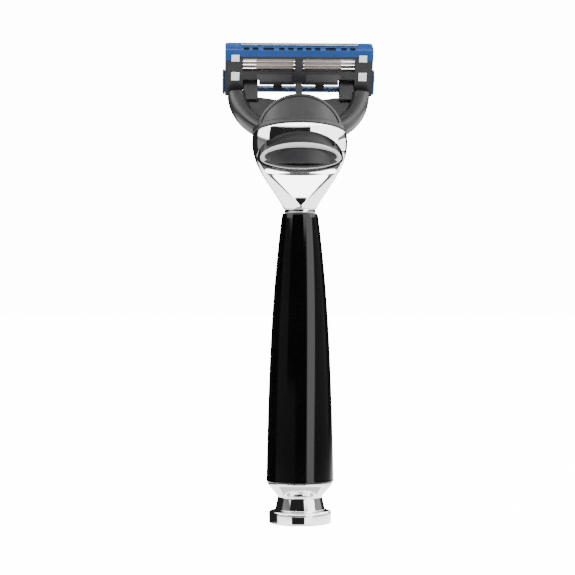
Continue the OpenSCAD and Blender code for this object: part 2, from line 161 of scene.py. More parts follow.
def shade(obj, angle=30):
    """Smooth shading that breaks at edges sharper than angle."""
    bm = bmesh.new()
    bm.from_mesh(obj.data)
    bmesh.ops.remove_doubles(bm, verts=bm.verts, dist=1e-7)
    limit = math.radians(angle)
    for face in bm.faces:
        face.smooth = True
    for edge in bm.edges:
        edge.smooth = len(edge.link_faces) == 2 and edge.calc_face_angle(0) < limit
    bm.to_mesh(obj.data)
    bm.free()
    return obj


def weighted(obj):
    """Normals that keep large flat faces flat beside their rounded edges."""
    mod = obj.modifiers.new("normals", "WEIGHTED_NORMAL")
    mod.keep_sharp = True
    mod.weight = 60
    return apply_modifiers(obj)


def place(obj, body, material, nodes=()):
    """Gives the piece its body and its material, and hides the CAD nodes it stands for.

    A list of materials keeps each polygon's own index.
    """
    several = isinstance(material, list)
    kinds = [polygon.material_index if several else 0 for polygon in obj.data.polygons]
    obj.data.materials.clear()
    for one in material if several else [material]:
        obj.data.materials.append(one)
    obj.data.polygons.foreach_set("material_index", kinds)
    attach(obj, body)
    if nodes:
        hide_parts(*([nodes] if isinstance(nodes, str) else nodes))
    return obj


def second_material(obj, chosen):
    """Marks the polygons whose centre, in the blade unit's frame, and area in mm2 are chosen."""
    to_unit = (obj.matrix_world.inverted() @ Matrix.Scale(MM, 4) @ TO_UNIT).inverted()
    for polygon in obj.data.polygons:
        centre, area = to_unit @ polygon.center, polygon.area / MM ** 2
        polygon.material_index = 1 if chosen(centre, area) else 0


def fillet(points, radii, steps=5):
    """The outline with each corner rounded by its radius."""
    out = []
    n = len(points)
    for i, (p, r) in enumerate(zip(points, radii)):
        p, a, b = Vector(p), Vector(points[i - 1]), Vector(points[(i + 1) % n])
        u, w = (a - p).normalized(), (b - p).normalized()
        turn = u.angle(w)
        if r <= 0 or turn > math.pi - 0.01:
            out.append(tuple(p))
            continue
        reach = min(r / math.tan(turn / 2), 0.49 * (a - p).length, 0.49 * (b - p).length)
        r = reach * math.tan(turn / 2)
        centre = p + (u + w).normalized() * (r / math.sin(turn / 2))
        start, end = p + u * reach - centre, p + w * reach - centre
        swing = start.angle(end)
        for k in range(steps + 1):
            t = k / steps
            q = (start * math.sin((1 - t) * swing) + end * math.sin(t * swing)) / math.sin(swing)
            out.append(tuple(centre + q))
    return out


def lathe(name, profile, segments=160):
    """Turns an outline of (radius, z) points about the handle's axis. It starts and ends on the axis."""
    inner = [p for p in profile if p[0] > 1e-6]
    low, high = profile[0][1], profile[-1][1]
    verts = [(r * math.cos(t), r * math.sin(t), z) for r, z in inner
             for t in (2 * math.pi * k / segments for k in range(segments))]
    faces = []
    for i in range(len(inner) - 1):
        for k in range(segments):
            j = (k + 1) % segments
            faces.append((i * segments + k, i * segments + j, (i + 1) * segments + j, (i + 1) * segments + k))
    first, last = len(verts), len(verts) + 1
    verts += [(0, 0, low), (0, 0, high)]
    top = (len(inner) - 1) * segments
    for k in range(segments):
        j = (k + 1) % segments
        faces.append((first, j, k))
        faces.append((last, top + k, top + j))
    return make(name, verts, faces)


def extrude(name, outline, low, high, matrix, along="x"):
    """A prism. The outline is (y, z) points along x, or (x, z) points along y, or (x, y) along z."""
    n = len(outline)
    order = {"x": lambda p, t: (t, p[0], p[1]), "y": lambda p, t: (p[0], t, p[1]),
             "z": lambda p, t: (p[0], p[1], t)}[along]
    verts = [order(p, t) for t in (low, high) for p in outline]
    faces = [tuple(range(n)), tuple(range(2 * n - 1, n - 1, -1))]
    faces += [(i, (i + 1) % n, n + (i + 1) % n, n + i) for i in range(n)]
    return make(name, verts, faces, matrix)


def tube_faces(n, steps):
    """Faces that join steps + 1 closed sections of n points each, and close both ends."""
    faces = [(i * n + k, i * n + (k + 1) % n, (i + 1) * n + (k + 1) % n, (i + 1) * n + k)
             for i in range(steps) for k in range(n)]
    return faces + [tuple(range(n)), tuple(range(steps * n, steps * n + n))]


def block(name, low, high, matrix):
    """A box between two corners."""
    outline = [(low[1], low[2]), (high[1], low[2]), (high[1], high[2]), (low[1], high[2])]
    return extrude(name, outline, low[0], high[0], matrix)


def rod(name, centre, radius, length, matrix, along="x", segments=48):
    """A cylinder that starts at centre and runs along x or z."""
    ring = [(radius * math.cos(2 * math.pi * k / segments), radius * math.sin(2 * math.pi * k / segments))
            for k in range(segments)]
    shift = matrix @ Matrix.Translation(Vector(centre))
    return extrude(name, ring, 0, length, shift, along)


def join(objs, name):
    """One object from several, their meshes side by side."""
    bm = bmesh.new()
    for obj in objs:
        bm.from_mesh(obj.data)
    mesh = bpy.data.meshes.new(name)
    bm.to_mesh(mesh)
    bm.free()
    for obj in objs:
        bpy.data.objects.remove(obj)
    out = bpy.data.objects.new(name, mesh)
    bpy.context.scene.collection.objects.link(out)
    return out


def cad_copy(node, name, width=0.08, segments=2, angle=30):
    """The CAD node's own shape, cleaned of its triangles and with its edges rounded."""
    obj = bpy.data.objects.new(name, frame["nodes"][node].data.copy())
    bpy.context.scene.collection.objects.link(obj)
    bm = bmesh.new()
    bm.from_mesh(obj.data)
    bmesh.ops.remove_doubles(bm, verts=bm.verts, dist=2e-7)
    bmesh.ops.dissolve_limit(bm, angle_limit=math.radians(1), verts=bm.verts, edges=bm.edges)
    bm.to_mesh(obj.data)
    bm.free()
    if width:
        bevel(obj, width, segments, angle)
    return weighted(shade(obj, 40))


# ---------------------------------------------------------------- materials
def node_material(name, colour, roughness=0.4, metallic=0.0, specular=0.5):
    """A principled material with its fixed values set on the shader, and its node tree."""
    mat = bpy.data.materials.new(name)
    mat.use_nodes = True
    shader = mat.node_tree.nodes["Principled BSDF"]
    shader.inputs["Base Color"].default_value = (*colour, 1)
    shader.inputs["Roughness"].default_value = roughness
    shader.inputs["Metallic"].default_value = metallic
    shader.inputs["Specular IOR Level"].default_value = specular
    return mat, mat.node_tree, shader


def noise(tree, scale, detail=3.0, stretch=(1, 1, 1)):
    """Noise in object space, stretched along the axes; scale is in cycles per metre."""
    place_node = tree.nodes.new("ShaderNodeTexCoord")
    mapping = tree.nodes.new("ShaderNodeMapping")
    texture = tree.nodes.new("ShaderNodeTexNoise")
    mapping.inputs["Scale"].default_value = stretch
    texture.inputs["Scale"].default_value = scale
    texture.inputs["Detail"].default_value = detail
    tree.links.new(place_node.outputs["Object"], mapping.inputs["Vector"])
    tree.links.new(mapping.outputs["Vector"], texture.inputs["Vector"])
    return texture.outputs["Fac"]


NOISE_LOW, NOISE_HIGH = 0.15, 0.85


def spread(tree, value, low, high):
    """Maps the useful part of a noise value to low to high."""
    node = tree.nodes.new("ShaderNodeMapRange")
    node.inputs["From Min"].default_value = NOISE_LOW
    node.inputs["From Max"].default_value = NOISE_HIGH
    node.inputs["To Min"].default_value = low
    node.inputs["To Max"].default_value = high
    tree.links.new(value, node.inputs["Value"])
    return node.outputs["Result"]


def mottle(tree, shader, value, dark, light):
    """Base colour that wanders between two colours with a noise value."""
    ramp = tree.nodes.new("ShaderNodeValToRGB")
    ramp.color_ramp.elements[0].position = NOISE_LOW
    ramp.color_ramp.elements[1].position = NOISE_HIGH
    ramp.color_ramp.elements[0].color = (*dark, 1)
    ramp.color_ramp.elements[1].color = (*light, 1)
    tree.links.new(value, ramp.inputs["Fac"])
    tree.links.new(ramp.outputs["Color"], shader.inputs["Base Color"])


def bump(tree, shader, value, height):
    """Bump from a noise value, height in metres."""
    node = tree.nodes.new("ShaderNodeBump")
    node.inputs["Strength"].default_value = 1.0
    node.inputs["Distance"].default_value = height
    tree.links.new(value, node.inputs["Height"])
    tree.links.new(node.outputs["Normal"], shader.inputs["Normal"])


def chrome_material():
    mat, tree, shader = node_material("chrome", (0.93, 0.935, 0.945), 0.03, 1.0)
    tree.links.new(spread(tree, noise(tree, 260, 4), 0.012, 0.05), shader.inputs["Roughness"])
    mottle(tree, shader, noise(tree, 90, 2), (0.91, 0.915, 0.925), (0.95, 0.955, 0.965))
    return mat


def resin_material():
    mat, tree, shader = node_material("black_resin", (0.001, 0.001, 0.001), 0.06, specular=0.3)
    tree.links.new(spread(tree, noise(tree, 220, 5, (1, 1, 0.12)), 0.035, 0.1), shader.inputs["Roughness"])
    mottle(tree, shader, noise(tree, 60, 4), (0.0006, 0.0006, 0.0007), (0.0018, 0.0014, 0.0013))
    return mat


def moulded_material(name, dark, light, low, high, grain=2600, height=0.000004, specular=0.5):
    """Moulded plastic: a fine spark-eroded grain, with slow drifts of colour and gloss."""
    mat, tree, shader = node_material(name, light, high, specular=specular)
    mottle(tree, shader, noise(tree, 170, 3), dark, light)
    tree.links.new(spread(tree, noise(tree, 420, 4), low, high), shader.inputs["Roughness"])
    bump(tree, shader, noise(tree, grain, 2), height)
    return mat


def brushed_material(name, dark, light, low, high, stretch=(0.04, 1, 1), height=0.0000015):
    """Ground or rolled metal with its lines along one axis."""
    mat, tree, shader = node_material(name, light, high, 1.0)
    grain = noise(tree, 5200, 3, stretch)
    mottle(tree, shader, grain, dark, light)
    tree.links.new(spread(tree, grain, low, high), shader.inputs["Roughness"])
    bump(tree, shader, grain, height)
    return mat


CHROME = chrome_material()
RESIN = resin_material()
# Each is its darkest and lightest colour, then its lowest and highest roughness
CONNECTOR = moulded_material("connector_plastic", (0.012, 0.012, 0.013), (0.02, 0.02, 0.021),
                             0.24, 0.34, specular=0.4)
NOSE = moulded_material("nose_plastic", (0.01, 0.01, 0.011), (0.016, 0.016, 0.017), 0.3, 0.42, specular=0.35)
BUTTON = moulded_material("button_plastic", (0.012, 0.012, 0.013), (0.02, 0.02, 0.021),
                          0.3, 0.42, specular=0.35)
# Painted highlight: a light grey for the upper part of the button's crest and for its rim
CREST_PAINTED_HIGHLIGHT = moulded_material("crest_painted_highlight", (0.4, 0.4, 0.395), (0.5, 0.5, 0.49), 0.2, 0.3)
HOUSING = moulded_material("housing_plastic", (0.01, 0.01, 0.011), (0.018, 0.018, 0.02),
                           0.28, 0.4, specular=0.35)
PANEL = moulded_material("panel_plastic", (0.03, 0.03, 0.033), (0.045, 0.045, 0.048), 0.3, 0.4)
CARRIER = moulded_material("carrier_plastic", (0.002, 0.032, 0.14), (0.003, 0.046, 0.19),
                           0.24, 0.34, specular=0.25)
# Painted shade: a near-black blue for the walls inside the carrier's comb slots
SLOT_PAINTED_SHADE = moulded_material("carrier_slot_painted_shade", (0.001, 0.006, 0.014), (0.002, 0.01, 0.022), 0.4, 0.55, specular=0.2)
SOFT_GRAIN = 1800
GUARD = moulded_material("guard_elastomer", (0.006, 0.03, 0.12), (0.012, 0.045, 0.17),
                         0.4, 0.55, SOFT_GRAIN, specular=0.4)
WING = moulded_material("wing_elastomer", (0.01, 0.038, 0.12), (0.018, 0.055, 0.17),
                        0.4, 0.55, SOFT_GRAIN, specular=0.3)
STRIP = moulded_material("lubricating_strip", (0.5, 0.62, 0.58), (0.66, 0.76, 0.72), 0.35, 0.6, 1200, 0.00001)
SEAL = moulded_material("seal_rubber", (0.01, 0.01, 0.01), (0.018, 0.018, 0.018), 0.5, 0.65)
EJECTOR = moulded_material("ejector_plastic", (0.11, 0.11, 0.115), (0.17, 0.17, 0.175), 0.35, 0.45)
FINE_LINES, FINE_HEIGHT = (0.02, 1, 1), 0.0000004
STEEL = brushed_material("ground_steel", (0.72, 0.73, 0.75), (0.86, 0.87, 0.88),
                         0.14, 0.26, FINE_LINES, FINE_HEIGHT)
COATED = brushed_material("coated_steel", (0.1, 0.1, 0.105), (0.17, 0.17, 0.175),
                          0.22, 0.34, FINE_LINES, FINE_HEIGHT)
SUPPORT = brushed_material("rolled_steel", (0.55, 0.51, 0.49), (0.74, 0.7, 0.68), 0.25, 0.42)
CLIP = brushed_material("clip_aluminium", (0.84, 0.86, 0.88), (0.94, 0.95, 0.96), 0.18, 0.32, (1, 1, 0.05))
WIRE = brushed_material("spring_wire", (0.5, 0.51, 0.53), (0.72, 0.73, 0.75), 0.2, 0.35, (1, 1, 1))
ROD = brushed_material("rod_steel", (0.42, 0.43, 0.45), (0.6, 0.61, 0.63), 0.22, 0.4, (1, 1, 0.05))


# ---------------------------------------------------------------- handle
def grip():
    """The turned grip: it narrows slowly at first, then faster towards the neck."""
    radius_low, radius_neck = 9.15, 4.85
    straight_share = 0.37
    steps, roll, foot_roll = 150, 0.55, 0.3
    rise = GRIP_Z1 - GRIP_Z0

    def radius(t):
        taper = straight_share * t + (1 - straight_share) * t ** 3
        return radius_low - (radius_low - radius_neck) * taper

    side = [(radius(k / steps), GRIP_Z0 + rise * k / steps) for k in range(steps + 1)]
    low = [(radius_low - foot_roll + foot_roll * math.sin(a), GRIP_Z0 + foot_roll - foot_roll * math.cos(a))
           for a in np.linspace(0, math.pi / 2, 6)]
    top = [(radius_neck - roll + roll * math.cos(a), GRIP_Z1 - roll + roll * math.sin(a))
           for a in np.linspace(0, math.pi / 2, 10)]
    body = [p for p in side if low[-1][1] < p[1] < top[0][1]]
    obj = lathe("handle_grip_turned", [(0, GRIP_Z0)] + low + body + top + [(0, GRIP_Z1)], 192)
    place(shade(obj), "handle", RESIN, "handle_grip")


def end_cap():
    """The turned pommel: a flange, a bead, a waisted neck and a flare under the grip."""
    flange, neck_low, neck_top, flare_z = 3.4, 3.75, 7.4, 10.6
    bead_r, waist_r, top_r = 6.8, 5.95, 8.8
    outline = [(0, 0), (FOOT_R, 0), (FOOT_R + 0.05, flange), (bead_r + 0.1, flange + 0.05),
               (bead_r - 0.25, flange + 0.12), (bead_r - 0.18, neck_low), (bead_r, neck_low + 0.05),
               (waist_r, neck_top), (top_r - 0.05, flare_z), (top_r, CAP_H), (0, CAP_H)]
    radii = [0, 0.45, 0.6, 0.05, 0.05, 0.05, 0.15, 1.1, 1.6, 0.25, 0]
    obj = lathe("end_cap_turned", fillet(outline, radii, 9), 192)
    place(shade(obj, 50), "handle", CHROME, "end_cap")


def neck_ring():
    z0, z1 = GRIP_Z1, HEAD_Z0
    outline = [(0, z0), (RING_R, z0), (RING_R, z1), (0, z1)]
    obj = lathe("neck_ring_turned", fillet(outline, [0, 0.25, 0.25, 0], 6), 128)
    place(shade(obj, 50), "handle", CHROME, "neck_ring")


# ---------------------------------------------------------------- head
def smooth(t):
    u = min(1.0, max(0.0, t))
    return u * u * (3 - 2 * u)


def soft_min(a, b, width):
    """The smaller of two values, with the corner between them rounded."""
    h = max(width - abs(a - b), 0) / width
    return min(a, b) - h * h * width / 4


def flare(s):
    """How far the head has opened, from 0 at the neck to about 1 at the mouth."""
    return math.sin(math.radians(min(FLARE_TURN * s, FLARE_TURN))) ** FLARE_POWER


def head_a(s):
    """Half the head's width at s, which runs from 0 at the neck to 1 at the mouth."""
    return NECK_R + (MOUTH_A - NECK_R) * flare(s)


def head_b(s):
    return NECK_R + (MOUTH_B - NECK_R) * flare(s)


def facet_depth(s):
    return MOUTH.y * s * s + FACET_DEPTH - HEAD_RISE * max(0, s - FACET_LOW) * FACET_SLOPE


def crease_x(s):
    """Half the facet's width: straight creases, no wider than where the facet's plane leaves the oval."""
    leaves = head_a(s) * math.sqrt(max(0, 1 - (facet_depth(s) / head_b(s)) ** 2))
    widest = 0.965 * head_a(s)
    return max(TIP_HALF, min(CREASE_SLOPE * (s - FACET_TIP), widest, leaves))


def front_depth(s, x, a, b):
    """How far the front lies before the middle plane: a leaning facet that curls up to its creases."""
    full = b * math.sqrt(max(0, 1 - (x / a) ** 2))
    edge = b * math.sqrt(max(0, 1 - (crease_x(s) / head_a(s)) ** 2))
    middle = soft_min(edge, facet_depth(s), TIP_ROUND)
    flat = middle + (edge - middle) * min(1, abs(x) / crease_x(s)) ** FACET_CURL
    return min(full, flat + (full - flat) * smooth((s - FACET_FADE) / FACET_BLEND))


def head_ring(s, inset, faceted, back_n, front_n):
    """One section of the head, as points in the row frame."""
    a, b = head_a(s) - inset, head_b(s) - inset
    edge = math.acos(min(1, crease_x(s) / head_a(s)))
    section = []
    for i in range(back_n + 1):
        t = -edge + (math.pi + 2 * edge) * i / back_n
        section.append((a * math.cos(t), b * math.sin(t)))
    for i in range(1, front_n):
        x = -a * math.cos(edge) * math.cos(math.pi * i / front_n)
        full = b * math.sqrt(max(0, 1 - (x / a) ** 2))
        section.append((x, -(front_depth(s, x, a, b) if faceted else full)))
    lean = NOSE_TILT * s * s
    y, z = MOUTH.y * s * s, HEAD_Z0 + HEAD_RISE * s
    return [(p[0], y + p[1] * math.cos(lean), z - p[1] * math.sin(lean)) for p in section]


def head_loft(name, s0, s1, steps, inset, faceted, roll=0):
    """The head's shape between two sections, drawn in by inset. A roll rounds its upper edge inwards."""
    back_n, front_n, roll_n = 120, 72, 6
    n = back_n + front_n
    verts = []
    s1 -= roll / HEAD_RISE
    for k in range(steps + 1):
        verts += head_ring(s0 + (s1 - s0) * k / steps, inset, faceted, back_n, front_n)
    for k in range(1, roll_n + 1 if roll else 1):
        t = k / roll_n * math.pi / 2
        ring = head_ring(s1, inset + roll * (1 - math.cos(t)), faceted, back_n, front_n)
        verts += [tuple(Vector(p) + AXIS * roll * math.sin(t)) for p in ring]
        steps += 1
    return make(name, verts, tube_faces(n, steps))


def window_points(gap, up=WINDOW_UP, down=WINDOW_DOWN, count=160):
    """The window's outline, two half ovals, drawn in by gap."""
    out = []
    for k in range(count):
        t = 2 * math.pi * k / count
        reach = (up if math.sin(t) > 0 else down) - gap
        out.append(((WINDOW_A - gap) * math.cos(t), WINDOW_Z + reach * math.sin(t)))
    return out


def window_prism(gap, up=WINDOW_UP, down=WINDOW_DOWN, back=0.0, lower=0.0):
    """A block the shape of the window that runs from far in front to back, lowered if asked."""
    shift = Matrix.Translation((0, 0, -lower))
    return extrude("window", window_points(gap, up, down), -FAR, back, shift, "y")


def head():
    """The chrome shell, hollow towards its mouth, with the window for the button."""
    obj = head_loft("head_shell", 0, 1, 110, 0, True, roll=0.22)
    boolean(obj, head_loft("cavity", CAVITY_S, 1.08, 30, HEAD_WALL, False))
    boolean(obj, window_prism(0))
    place(weighted(shade(obj, 32)), "handle", CHROME, "head_housing")


# ---------------------------------------------------------------- button
FACE_LOW = Vector((0, -2.6, WINDOW_Z - 3.2))
FACE_SLOPE = 4.1 / 7.2
CREST_H, FOOT_H, THUMB_A = 4.1, 2.95, 11.0
DISH_A, DISH_UP, DISH_DOWN, DISH_Z = 9.8, 2.5, 2.1, WINDOW_Z + 0.25
DISH_DEPTH = 1.0
BUTTON_HALF, BODY_TOP, FORK_LOW, FORK_FRONT = 10.9, -1.65, -6.3, -2.6
SLIDE_FACE, BUTTON_GAP = 0.9, 0.25
SLIDE_RISE, BUTTON_S = 1.4, 0.565


def face_y(z):
    return FACE_LOW.y - (z - FACE_LOW.z) * FACE_SLOPE


def thumb_face():
    """The crest and the dish: rings from the middle of the dish out to the edge, then back into the head. The
    crest's upper part and the rolled rim all round take a light grey material, a painted highlight.
    """
    around, dish_n, crest_n, roll_n = 160, 18, 12, 6
    # The last value sets how far down the crest the painted highlight reaches
    back_y, roll, crown, painted_highlight_above = -1.0, 0.3, 0.3, -0.35
    verts, faces, kinds = [], [], []
    rings = [(kind, k / count) for kind, count in (("dish", dish_n), ("crest", crest_n), ("roll", roll_n))
             for k in range(1, count + 1)]
    rings.append(("side", 1))
    middle = Vector((0, DISH_Z))
    for kind, t in rings:
        for i in range(around):
            a = 2 * math.pi * i / around
            c, s = math.cos(a), math.sin(a)
            reach_in, reach_out = (DISH_UP, CREST_H) if s > 0 else (DISH_DOWN, FOOT_H)
            inner = Vector((DISH_A * c, DISH_Z + reach_in * s))
            outer = Vector(((THUMB_A - roll) * c, WINDOW_Z + (reach_out - roll) * s))
            grow = Vector((c, s))
            if kind == "dish":
                p = middle.lerp(inner, t)
                y = face_y(p.y) + DISH_DEPTH * (1 - t * t) ** 0.8
            elif kind == "crest":
                p = inner.lerp(outer, t)
                y = face_y(p.y) - crown * math.sin(math.pi * t) ** 0.7
            elif kind == "roll":
                p = outer + grow * roll * math.sin(t * math.pi / 2)
                y = face_y(outer.y) + roll * (1 - math.cos(t * math.pi / 2))
            else:
                p = outer + grow * roll
                y = back_y
            verts.append((p.x, y, p.y))
    verts.append((0, face_y(DISH_Z) + DISH_DEPTH, DISH_Z))
    centre = len(verts) - 1
    for i in range(around):
        faces.append((centre, i, (i + 1) % around))
        kinds.append("dish")
    for k in range(len(rings) - 1):
        for i in range(around):
            j = (i + 1) % around
            faces.append((k * around + i, k * around + j, (k + 1) * around + j, (k + 1) * around + i))
            # Painted highlight: crest faces above that height, and the whole rolled rim, take the light grey
            # material
            high = math.sin(2 * math.pi * (i + 0.5) / around) > painted_highlight_above
            light = rings[k + 1][0] == "roll" or rings[k + 1][0] == "crest" and high
            kinds.append("light" if light else "dark")
    last = (len(rings) - 1) * around
    faces.append(tuple(last + i for i in range(around)))
    kinds.append("side")
    obj = make("button_thumb_face", verts, faces)
    # Index 1 is the painted highlight material
    for polygon, kind in zip(obj.data.polygons, kinds):
        polygon.material_index = 1 if kind == "light" else 0
    place(obj, "button", [BUTTON, CREST_PAINTED_HIGHLIGHT])
    return obj


def button():
    obj = head_loft("button_body", BUTTON_S, 1.0, 40, HEAD_WALL + BUTTON_GAP, False)
    low, high = (-BUTTON_HALF, -FAR, -FAR), (BUTTON_HALF, SLIDE_FACE, BODY_TOP)
    boolean(obj, block("keep", low, high, TO_NOSE), "INTERSECT")
    boolean(obj, block("slot", (-FAR, FORK_FRONT, FORK_LOW), (FAR, FAR, FAR), TO_NOSE))
    bevel(obj, 0.12, 2, 40)
    place(weighted(shade(obj, 35)), "button", BUTTON, "release_button")
    # The shoulder fills the window and stays clear of its edge when the button is pushed up
    shoulder = head_loft("button_shoulder", BUTTON_S, 1.0, 60, 0.5, False)
    boolean(shoulder, window_prism(0.3, WINDOW_UP - 1.35, WINDOW_DOWN - 0.2, -0.8), "INTERSECT")
    boolean(shoulder, window_prism(0.35, WINDOW_UP, WINDOW_DOWN + 2, -0.7, SLIDE_RISE), "INTERSECT")
    boolean(shoulder, block("behind", (-FAR, -FAR, -FAR), (FAR, SLIDE_FACE, FAR), TO_NOSE), "INTERSECT")
    place(weighted(shade(bevel(shoulder, 0.2, 3, 40), 35)), "button", BUTTON)
    shade(thumb_face(), 50)


# ---------------------------------------------------------------- connector
ARM_X, ARM_Z, ARM_A, ARM_B, ARM_W = 6.2, 14.2, 13.4, 14.9, 4.8
ARM_START, ARM_END = -66, -5
DOME_A, DOME_B, DOME_H, SEAT_GAP, RIM_TOP = 11.7, 6.7, 9.3, 0.15, 1.7
NOSE_A, NOSE_B, NOSE_H = 8.6, 4.0, 6.4
PLUNGER_Y, PLUNGER_HOLE_R = -1.5, 1.7
FINGER_X0, FINGER_X1, WEB_TOP = 11.2, 15.2, 12.3
FINGER_R, FINGER_LOW, TRUNNION_R, TRUNNION_X1 = 1.65, 11.0, 1.1, 17.0
ARM_FRONT, ARM_BACK = -1.6, 2.2


def oval(a, b, count=120):
    turns = [2 * math.pi * k / count for k in range(count)]
    return [(a * math.cos(t), b * math.sin(t)) for t in turns]


def arch(a, h, base, count=72):
    points = [(a, base)]
    for k in range(1, count):
        t = math.pi * k / count
        points.append((a * math.cos(t), max(base, h * math.sin(t))))
    return [p for i, p in enumerate(points + [(-a, base)]) if i in (0, count) or p[1] > base + 1e-4]


def arm(side):
    """One arm: a crowned band swept along an oval arc."""
    steps, across = 48, 14
    front_crown, front_roll, back_crown, back_roll = 0.55, 0.7, 0.2, 0.4
    half = ARM_W / 2
    section = []
    for k in range(across + 1):
        u = -1 + 2 * k / across
        section.append((half * u, ARM_FRONT - front_crown * (1 - abs(u) ** 2.2) + front_roll * abs(u) ** 6))
    for k in range(across + 1):
        u = 1 - 2 * k / across
        section.append((half * u, ARM_BACK + back_crown * (1 - u * u) - back_roll * abs(u) ** 6))
    verts = []
    for i in range(steps + 1):
        t = math.radians(ARM_START + (ARM_END - ARM_START) * i / steps)
        middle = Vector((ARM_X + (ARM_A - half) * math.cos(t), ARM_Z + (ARM_B - half) * math.sin(t)))
        outward = Vector((math.cos(t), math.sin(t)))
        for r, y in section:
            p = middle + outward * r
            verts.append((side * p.x, y, p.y))
    return make("arm", verts, tube_faces(len(section), steps), TO_NOSE)


def finger(side):
    """The post at the end of an arm, round about the pivot."""
    x0, x1 = sorted((side * FINGER_X0, side * FINGER_X1))
    y, z = PIVOT_IN_NOSE.yz
    outline = [(y - FINGER_R, FINGER_LOW), (ARM_BACK, FINGER_LOW), (y + FINGER_R, z)]
    outline += [(y + FINGER_R * math.cos(a), z + FINGER_R * math.sin(a))
                for a in np.linspace(0, math.pi, 20)]
    return bevel(extrude("finger", outline, x0, x1, TO_NOSE), 0.25, 3, 50)


def trunnion(side):
    """The pin that the blade unit turns on. It starts 2 mm inside its finger."""
    inner = FINGER_X1 - 2
    start = inner if side > 0 else -TRUNNION_X1
    centre = (start, PIVOT_IN_NOSE.y, PIVOT_IN_NOSE.z)
    return bevel(rod("trunnion", centre, TRUNNION_R, TRUNNION_X1 - inner, TO_NOSE), 0.15, 2, 50)


def dome():
    """The docking dome. Its front face stands proud inside a groove that follows the arch."""
    groove_in, groove_w, past = 0.75, 0.5, 9
    plan_low, plan_high = -3, 14

    def plan(a, b):
        return extrude("plan", oval(a, b), plan_low, plan_high, TO_NOSE, "z")

    obj = extrude("connector_moulding", arch(DOME_A, DOME_H, SEAT_GAP), -past, past, TO_NOSE, "y")
    boolean(obj, plan(MOUTH_A - 0.2, DOME_B), "INTERSECT")
    bevel(obj, 0.55, 4, 40)
    groove = extrude("groove", arch(DOME_A - groove_in, DOME_H - groove_in, -3), -past, 0, TO_NOSE, "y")
    boolean(groove, plan(MOUTH_A - 0.5, DOME_B - 0.25))
    boolean(obj, groove)
    inset = groove_in + groove_w
    face = extrude("face", arch(DOME_A - inset, DOME_H - inset, SEAT_GAP + 0.4), -past, 0, TO_NOSE, "y")
    boolean(face, plan(MOUTH_A - 0.4, DOME_B + 0.15), "INTERSECT")
    boolean(obj, bevel(face, 0.3, 3, 40), "UNION")
    return obj


def rim():
    """The rounded flange that seats on the head's mouth."""
    outline = oval(MOUTH_A - 0.1, MOUTH_B - 0.1)
    return bevel(extrude("rim", outline, SEAT_GAP, RIM_TOP, TO_NOSE, "z"), 0.3, 3, 40)


def web():
    """The thin plate that fills the space between the dome and the arms."""
    y_front, y_back = 0.2, 1.6
    half = [(2.2, WEB_TOP - 1), (6, WEB_TOP - 0.7), (10, WEB_TOP), (14.4, WEB_TOP), (14.6, 9.5), (13, 6.5),
            (10, 4.5)]
    rounding = [2, 2, 2, 0.5, 1, 2, 0]
    outline = [(0, 4)] + half[::-1] + [(-x, z) for x, z in half]
    radii = [0] + rounding[::-1] + rounding
    return bevel(extrude("web", fillet(outline, radii, 5), y_front, y_back, TO_NOSE, "y"), 0.25, 3, 50)


def socket():
    """The space for the head's nose."""
    gap, past = 0.15, 9
    obj = extrude("socket", oval(NOSE_A + gap, NOSE_B + gap), -1, NOSE_H + gap, TO_NOSE, "z")
    roof = extrude("roof", arch(NOSE_A + 1 + gap, NOSE_H + 1.1 + gap, -5), -past, past, TO_NOSE, "y")
    boolean(obj, roof, "INTERSECT")
    return obj


def connector():
    obj = dome()
    boolean(obj, rim(), "UNION")
    boolean(obj, web(), "UNION")
    for side in (-1, 1):
        for part in (arm, finger, trunnion):
            boolean(obj, part(side), "UNION")
    boolean(obj, socket())
    boolean(obj, rod("guide", (0, PLUNGER_Y, 0), PLUNGER_HOLE_R, 14, TO_NOSE, "z"))
    place(weighted(shade(obj, 32)), "cartridge", CONNECTOR, "connector")


def plunger():
    place(cad_copy("plunger", "plunger_strut", 0.1), "plunger", NOSE, "plunger")


# ---------------------------------------------------------------- blade unit
def housing():
    """The frame, with a lighter floor in the two recesses of its back bar."""
    floor_y, near_x, far_x, low_z, high_z = -4.05, 1.9, 11.7, 4.9, 7.4

    def in_recess(p, _area):
        return abs(p.y - floor_y) < 0.06 and near_x < abs(p.x) < far_x and low_z < p.z < high_z

    obj = cad_copy("blade_housing", "housing_moulding", 0.14, 3)
    second_material(obj, in_recess)
    place(obj, "blade_unit", [HOUSING, PANEL], "blade_housing")


def guard():
    """The blue elastomer: a bar with scallops behind, soft fins on the face, and a wing at each end."""
    half, steps = 15.25, 240
    scallop_depth, scallop_pitch, scallop_end = 0.22, 3.0, 12
    verts = []
    for i in range(steps + 1):
        x = -half + 2 * half * i / steps
        wave = max(0, math.cos(2 * math.pi * x / scallop_pitch)) ** 2
        scallop = scallop_depth * wave if abs(x) < scallop_end else 0
        outline = [(-2.2 + scallop, 1.15), (-2.05, 0.98), (-1.2, 0.6), (-0.45, 0.24), (-0.1, 0.16),
                   (0.02, 0.3), (0.02, 1.95), (-0.1, 2.08), (-1.0, 2.1), (-2.0, 2.1),
                   (-2.2 + scallop, 1.98), (-2.28 + scallop, 1.5)]
        verts += [(x, y, z) for y, z in outline]
    parts = [make("bar", verts, tube_faces(len(outline), steps), TO_UNIT)]
    fin_rows, fin_step, fin_len, fin_gap, fin_low = 4, 0.46, 3.4, 0.3, 0.36
    shortest, margin, first = 0.5, 0.15, 0.2
    for row in range(fin_rows):
        v = fin_low + fin_step * row
        fin = [(-0.03, v), (0.2, v + 0.1), (0.2, v + 0.17), (-0.03, v + 0.25)]
        x = -half + first - (row % 2) * fin_len / 2
        while x < half:
            x0, x1 = max(x, -half + margin), min(x + fin_len - fin_gap, half - margin)
            if x1 - x0 > shortest:
                parts.append(extrude("fin", fin, x0, x1, TO_UNIT))
            x += fin_len
    place(shade(join(parts, "guard_elastomer"), 40), "blade_unit", GUARD, "guard_fins")
    for side in (-1, 1):
        wing(side)


